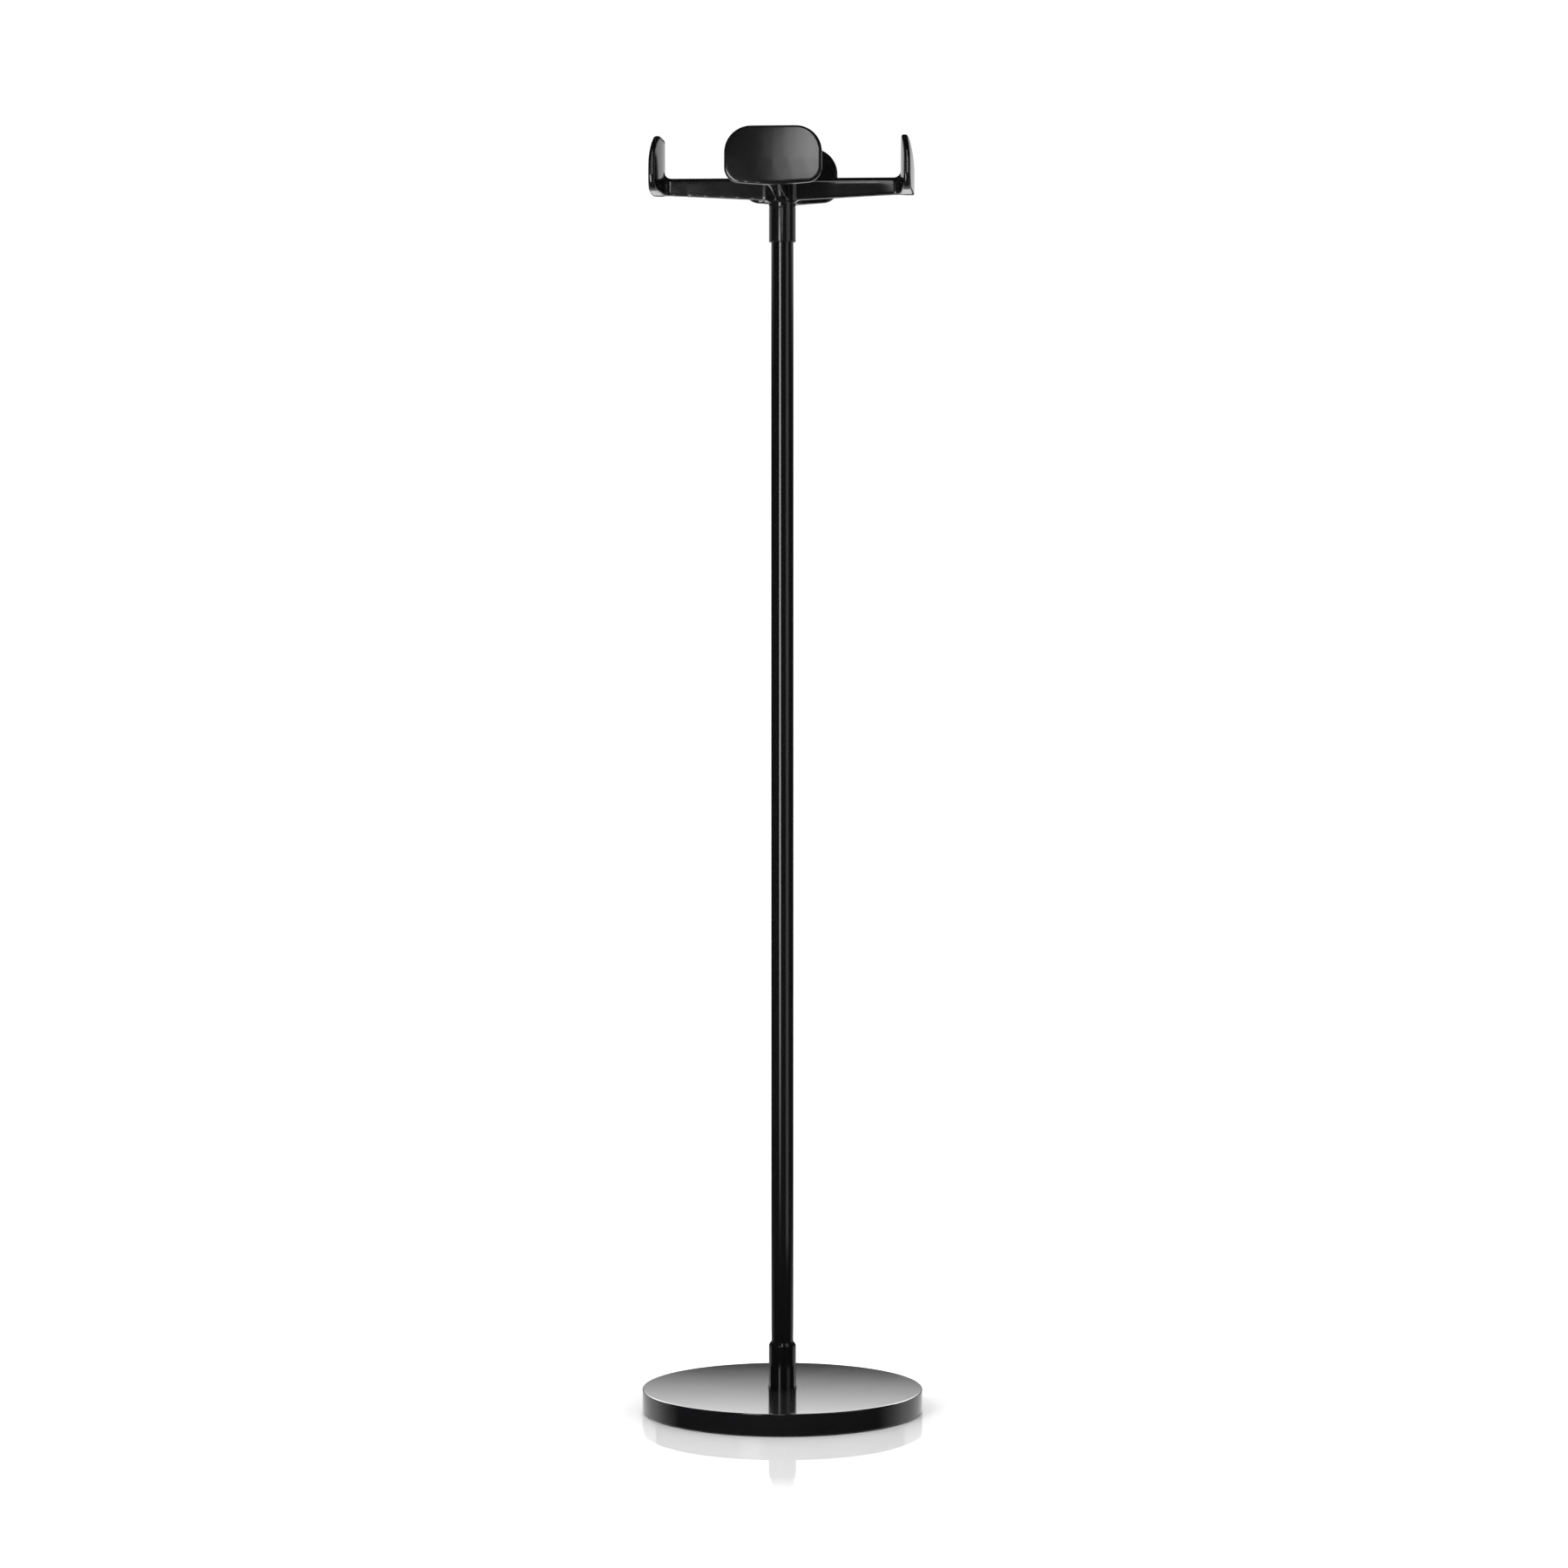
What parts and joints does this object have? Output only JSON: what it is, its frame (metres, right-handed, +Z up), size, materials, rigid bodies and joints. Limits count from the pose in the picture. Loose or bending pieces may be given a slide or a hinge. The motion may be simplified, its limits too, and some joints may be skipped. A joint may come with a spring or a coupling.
{
  "type": "coat rack",
  "caption": "Free-standing coat rack: heavy round base, slim tube pole and a turning cross head whose arms end in upright rounded paddles for coats and hats.",
  "frame": {"origin": "the floor under the pole's axis", "axes": "+Z up along the pole; at rest the head's arms lie along +X, +Y, -X and -Y"},
  "size_m": [0.38, 0.38, 1.72],
  "materials": {
    "black_paint": "satin gloss black",
    "black_casting": "black powder coat on cast aluminium",
    "cast_iron": "as cast",
    "plate_steel": "plain zinc plated",
    "zinc_screw": "bright zinc plated",
    "foot_rubber": "matt black",
    "seat_plastic": "black",
    "bush_plastic": "natural acetal"
  },
  "bodies": {
    "stand": {"base_cover": "black_paint", "ballast_disc": "cast_iron", "base_plate": "plate_steel", "base_plate_screws": "zinc_screw", "foot_ring": "foot_rubber", "base_bolt": "zinc_screw", "base_washer": "zinc_screw", "lock_washer": "zinc_screw", "seat_ring": "seat_plastic", "pole_socket": "black_paint", "socket_pins": "zinc_screw", "pole_tube": "black_paint", "tube_foot_plug": "plate_steel", "spindle_plug": "plate_steel", "thrust_washer": "bush_plastic", "wave_washer": "zinc_screw", "pivot_bolt": "zinc_screw"},
    "head": {"head_casting": "black_casting", "lower_bush": "bush_plastic", "upper_bush": "bush_plastic", "guide_bush": "bush_plastic", "head_cap": "seat_plastic"}
  },
  "joints": [
    {"name": "head_swivel", "type": "hinge", "parent": "stand", "child": "head", "pos_m": [0, 0, 1.6], "axis": [0, 0, 1], "continuous": true}
  ]
}
